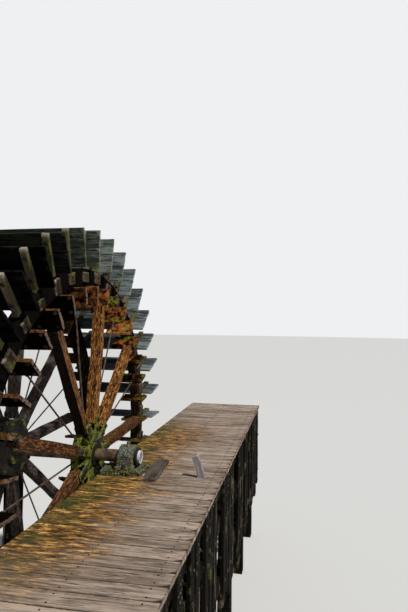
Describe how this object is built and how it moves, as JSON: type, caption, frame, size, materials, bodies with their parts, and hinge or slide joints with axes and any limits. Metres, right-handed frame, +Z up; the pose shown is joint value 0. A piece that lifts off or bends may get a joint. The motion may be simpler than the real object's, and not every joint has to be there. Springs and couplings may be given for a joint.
{
  "type": "undershot water wheel",
  "caption": "Old timber water wheel with iron hubs and shaft, turning in bearings on a plank deck over piles, weathered, rusty and mossy.",
  "frame": {"origin": "middle of the box round the whole object, on the bed that the piles stand on, beside the foot of the wheel", "axes": "+X along the shaft toward the canal side deck and away from the drive end, +Y along the channel, +Z up"},
  "size_m": [5.81, 11, 7.2999],
  "materials": {
    "worn_steel": "worn",
    "black_iron": "satin",
    "painted_cap": "satin",
    "mossy_iron": "matte",
    "mossy_timber": "matte",
    "bearing_iron": "matte",
    "rusty_steel": "worn",
    "spoke_timber": "matte",
    "rim_timber": "matte",
    "block_timber": "matte",
    "arm_timber": "matte",
    "paddle_timber": "matte",
    "deck_timber": "matte",
    "bleached_timber": "matte",
    "pile_timber": "matte"
  },
  "bodies": {
    "frame": {"deck_planks": "deck_timber", "deck_stringers": "pile_timber", "deck_cap_beams": "pile_timber", "deck_piles": "pile_timber", "deck_braces": "pile_timber", "edge_wales": "pile_timber", "edge_boards": "pile_timber", "bearing_sole_canal": "mossy_timber", "bearing_base_canal": "bearing_iron", "bearing_cap_canal": "bearing_iron", "loose_board": "bleached_timber", "deck_stake": "bleached_timber", "mill_planks": "deck_timber", "mill_stringers": "pile_timber", "mill_cap_beams": "pile_timber", "mill_piles": "pile_timber", "bearing_sole_mill": "mossy_timber", "bearing_base_mill": "bearing_iron", "bearing_cap_mill": "bearing_iron"},
    "wheel": {"shaft": "worn_steel", "shaft_flange": "black_iron", "shaft_end_cap": "painted_cap", "hub_canal": "mossy_iron", "hub_mill": "mossy_iron", "spokes_canal": "spoke_timber", "spokes_mill": "spoke_timber", "felloes_canal": "rim_timber", "felloes_mill": "rim_timber", "rim_blocks_canal": "block_timber", "rim_blocks_mill": "block_timber", "arms_canal": "arm_timber", "arms_mill": "arm_timber", "tie_rods_canal": "rusty_steel", "tie_rods_mill": "rusty_steel", "paddle_boards_1": "paddle_timber", "paddle_boards_2": "paddle_timber", "paddle_boards_3": "paddle_timber", "paddle_boards_4": "paddle_timber", "paddle_boards_5": "paddle_timber", "paddle_boards_6": "paddle_timber"}
  },
  "joints": [
    {"name": "wheel_turn", "type": "hinge", "parent": "frame", "child": "wheel", "pos_m": [0, -1.2, 3.7], "axis": [1, 0, 0], "continuous": true}
  ]
}
